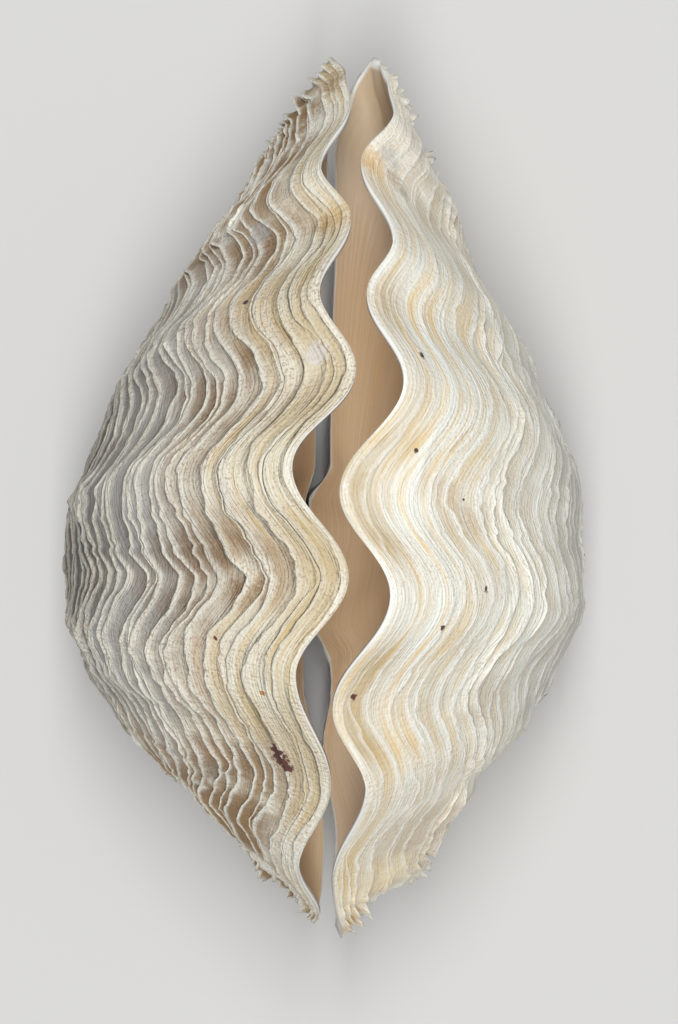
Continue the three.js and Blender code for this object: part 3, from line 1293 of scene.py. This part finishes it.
@dataclass(frozen=True)
class Studio:
    """Pale floor, soft light and the camera above, in metres, with the lens in millimetres."""

    camera_height: float = 1.4804
    camera_x: float = 0.0044
    camera_y: float = -0.0048
    camera_roll: float = np.radians(1.6)
    lens: float = 143.3
    sensor: float = 36.0
    clip_end: float = 50.0
    light_place: Place = (0.0, 0.001, 1.8)
    light_aim: Place = (0.0, 0.0, 0.08)
    light_size: Pair = (0.36, 2.2)
    light_power: float = 36.0
    sky: Colour = (0.95, 0.97, 1.0)
    sky_strength: float = 0.3
    floor_size: float = 6.0
    floor_colour: Colour = (0.60, 0.595, 0.58)
    floor_roughness: float = 0.9

    def add_camera(self) -> None:
        """Camera straight above the margins."""
        data = bpy.data.cameras.new("camera")
        data.lens = self.lens
        data.sensor_fit = "VERTICAL"
        data.sensor_height = self.sensor
        data.clip_end = self.clip_end
        camera = bpy.data.objects.new("camera", data)
        camera.location = (self.camera_x, self.camera_y, self.camera_height)
        camera.rotation_euler = (0.0, 0.0, self.camera_roll)
        bpy.context.scene.collection.objects.link(camera)
        bpy.context.scene.camera = camera

    def add_light(self) -> None:
        """Long soft light above the slit between the valves."""
        data = bpy.data.lights.new("strip", "AREA")
        data.shape = "RECTANGLE"
        data.size, data.size_y = self.light_size
        data.energy = self.light_power
        light = bpy.data.objects.new("strip", data)
        light.location = self.light_place
        facing = Vector(self.light_aim) - Vector(self.light_place)
        light.rotation_euler = facing.to_track_quat("-Z", "Y").to_euler()
        bpy.context.scene.collection.objects.link(light)

    def add_floor(self) -> None:
        """Pale floor under the shell."""
        base = bmesh.new()
        bmesh.ops.create_grid(base, x_segments=1, y_segments=1, size=self.floor_size / 2)
        mesh = bpy.data.meshes.new("floor")
        base.to_mesh(mesh)
        base.free()
        material = bpy.data.materials.new("floor_paint")
        material.use_nodes = True
        shader = material.node_tree.nodes["Principled BSDF"]
        shader.inputs["Base Color"].default_value = (*self.floor_colour, 1.0)
        shader.inputs["Roughness"].default_value = self.floor_roughness
        mesh.materials.append(material)
        floor = bpy.data.objects.new("floor", mesh)
        bpy.context.scene.collection.objects.link(floor)

    def add_sky(self) -> None:
        """Even light from all round."""
        world = bpy.data.worlds.new("studio")
        world.use_nodes = True
        background = world.node_tree.nodes["Background"]
        background.inputs["Color"].default_value = (*self.sky, 1.0)
        background.inputs["Strength"].default_value = self.sky_strength
        bpy.context.scene.world = world

    def build(self) -> None:
        """Sets up the floor, the camera and the lights."""
        self.add_floor()
        self.add_camera()
        self.add_light()
        self.add_sky()
        bpy.context.scene.view_settings.view_transform = "Standard"
        log.info("studio: floor, camera and lights")


def left_valve() -> ValvePiece:
    """The left valve, with its greyer and more stained outside.

    Returns:
        The piece, with its shape and finishes.
    """
    form = ValveForm(
        side=Side.LEFT,
        swing=0.0,
        short_end=0.965,
        girth=(
            (-120, 1.2), (-85, 1.03), (-68, 1.06), (-54, 1.09), (-40, 1.07), (-27, 1.04), (8, 1),
            (25, 0.97), (65, 0.96), (80, 0.98), (110, 1), (179, 1.1),
        ),
        folds=(
            (179, 1), (172, -3.5), (161, -5.4), (136, 3.2), (119, -6.6), (93, 2.4), (68, -9.5),
            (35.4, 9), (0, -9), (-32.7, 6.3), (-72.5, -5.3), (-101.5, 4), (-124, -1.2), (-127, -0.4),
        ),
        back=(
            (-127, -0.4), (-109, -3.4), (-97, -3.7), (-60, 0.6), (-42, 5.3), (-28, 5.7), (-20, 6),
            (0, 6.4), (26, 6.2), (36, 3.2), (54, 3.4), (137, 1.8), (179, 1),
        ),
        seed=11,
    )
    outside = OutsideFinish(
        "left_outside",
        marks=(
            Mark((-0.0136, -0.0837, 0.1460), 0.0026, RED_BROWN),
            Mark((-0.0126, -0.0864, 0.1445), 0.0032, RED_BROWN),
            Mark((-0.0107, -0.0896, 0.1435), 0.0026, RED_BROWN),
            Mark((-0.0186, -0.0641, 0.1616), 0.0011, (0.55, 0.22, 0.08)),
            Mark((-0.0253, 0.0872, 0.1194), 0.0048, (0.42, 0.41, 0.40), 0.6),
            Mark((-0.0044, 0.0460, 0.1640), 0.0040, (0.66, 0.63, 0.63), 0.6),
            Mark((-0.0346, -0.0472, 0.1583), 0.0009, RED_BROWN),
            Mark((-0.0283, 0.0632, 0.1415), 0.0010, DARK_BROWN),
            Mark((-0.0057, 0.1270, 0.0960), 0.0090, CHALK, 0.75, SOFT),
            Mark((-0.0020, 0.1420, 0.0840), 0.0060, (0.38, 0.24, 0.09), 0.75, SOFT),
            Mark((-0.0378, -0.0207, 0.1560), 0.0110, (0.24, 0.15, 0.08), 0.35, SOFT),
            Mark((-0.0043, -0.1220, 0.1150), 0.0110, CHALK, 0.6, SOFT),
            Mark((-0.0110, 0.0800, 0.1395), 0.0090, (0.90, 0.88, 0.76), 0.5, SOFT),
            Mark((0.0016, 0.0929, 0.1362), 0.0065, (0.60, 0.38, 0.13), 0.6, SOFT),
            Mark((-0.0032, 0.0898, 0.1352), 0.0035, (0.42, 0.25, 0.09), 0.5, SOFT),
            Mark((0.0051, -0.0198, 0.1795), 0.0080, (0.50, 0.36, 0.16), 0.35, SOFT),
        ),
    )
    return ValvePiece("left_valve", form, outside, InsideFinish("left_inside"))


def right_valve() -> ValvePiece:
    """The right valve, creamier and less stained, and swung open.

    Returns:
        The piece, with its shape and finishes.
    """
    form = ValveForm(
        side=Side.RIGHT,
        swing=np.radians(5.4),
        short_end=1.0,
        girth=(
            (-125, 1.15), (-105, 1.65), (-93, 1.27), (-80, 1.17), (-65, 1.01), (-15, 1.01), (0, 0.98),
            (25, 0.985), (50, 0.96), (100, 0.96), (125, 1), (179, 1.05),
        ),
        folds=(
            (179, 12.8), (176.8, 15.4), (168, 17.6), (156.5, 19.3), (139, 9.8), (110.6, 20.2),
            (93.4, 12.8), (64, 24.6), (28.2, 6.2), (-5.5, 22.4), (-43.4, 5.9), (-70, 16.6), (-103, 7.2),
            (-117, 7.6), (-127, 10),
        ),
        back=(
            (-127, 10), (-109, 7.2), (-97, 7.8), (-60, 2), (-42, 4.6), (-28, 3.2), (-18, -5.4),
            (0, -6), (26, -5.8), (36, 1.9), (54, 1.4), (137, 1.4), (150, 0), (165, 4.9), (176, 9.4),
            (179, 12.8),
        ),
        seed=23,
        lamellae=Lamellae(
            count=36,
            height=3.5,
            fresh_turns=(0.04, 0.6),
            valley=0.06,
            frill=1.6,
            minor=(0.15, 0.5),
            major_share=0.4,
            shares=(0.14, 0.42, 0.72, 0.94),
            overhang=1.0,
            overhang_height=0.8,
        ),
    )
    outside = OutsideFinish(
        "right_outside",
        marks=(
            Mark((0.0303, 0.0468, 0.1618), 0.0013, DARK_BROWN),
            Mark((0.0287, 0.0156, 0.1684), 0.0009, DARK_BROWN),
            Mark((0.0338, 0.0095, 0.1644), 0.0009, DARK_BROWN),
            Mark((0.0452, 0.0004, 0.1542), 0.0007, DARK_BROWN),
            Mark((0.0450, -0.0078, 0.1583), 0.0006, DARK_BROWN),
            Mark((0.0605, -0.0070, 0.1385), 0.0010, DARK_BROWN),
            Mark((0.0610, 0.0146, 0.1392), 0.0011, DARK_BROWN),
            Mark((0.0535, -0.0290, 0.1530), 0.0014, RED_BROWN),
            Mark((0.0574, -0.0269, 0.1521), 0.0012, RED_BROWN),
            Mark((0.0390, -0.0414, 0.1627), 0.0009, DARK_BROWN),
            Mark((0.0109, -0.0644, 0.1646), 0.0012, RED_BROWN),
            Mark((0.0454, -0.0202, 0.1615), 0.0007, DARK_BROWN),
            Mark((0.0431, 0.0275, 0.1601), 0.0006, DARK_BROWN),
            Mark((0.0180, 0.1150, 0.1120), 0.0055, (0.54, 0.53, 0.49), 0.7, SOFT),
            Mark((0.0120, 0.1130, 0.1200), 0.0055, (0.74, 0.48, 0.19), 0.7, SOFT),
            Mark((0.0194, 0.1079, 0.1137), 0.0034, (0.40, 0.29, 0.17), 0.6, SOFT),
            Mark((0.0228, 0.1031, 0.1142), 0.0034, (0.38, 0.30, 0.20), 0.6, SOFT),
            Mark((0.0066, 0.0093, 0.1788), 0.0080, (0.50, 0.37, 0.18), 0.4, SOFT),
            # Ochre patch at the low tip: the ochre is the shell's own, and it is lightened further as
            # painted light against the shade there.
            Mark((0.0230, -0.1300, 0.0880), 0.0140, (1.0, 0.82, 0.48), 0.6, SOFT),
            Mark((0.0100, -0.1480, 0.0700), 0.0070, (0.74, 0.54, 0.28), 0.6, SOFT),
        ),
        fresh=(0.88, 0.89, 0.82),
        cream=(0.80, 0.80, 0.70),
        warm=(0.77, 0.72, 0.59),
        ochre=(0.78, 0.57, 0.27),
        streak=(0.55, 0.35, 0.15),
        streak_share=0.4,
        grey=(0.56, 0.55, 0.50),
        grey_growth=(0.45, 0.85),
        slate=(0.42, 0.415, 0.385),
        slate_growth=(0.85, 1.5),
        white=(0.98, 0.95, 0.84),
        white_share=0.85,
        hollow=(0.58, 0.45, 0.29),
        hollow_share=0.5,
        honey=(0.48, 0.35, 0.165),
        honey_share=0.85,
        honey_outer=(0.05, 0.13),
        lip=(0.89, 0.88, 0.81),
        young_lip=0.45,
        rim=(0.66, 0.61, 0.49),
        # Lighter painted shade and dirt at the foot of each plate.
        shade=(0.66, 0.58, 0.45),
        shade_share=0.3,
        brown=(0.42, 0.28, 0.16),
        stain_share=0.4,
        grain=(0.60, 0.42, 0.27),
        grain_share=0.45,
        relief=0.0007,
    )
    return ValvePiece("right_valve", form, outside, InsideFinish("right_inside"))


def main() -> None:
    """Builds the valves and the studio."""
    logging.basicConfig(level=logging.INFO)
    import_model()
    for piece in (left_valve(), right_valve()):
        piece.build()
    Studio().build()


if __name__ == "__main__":
    main()
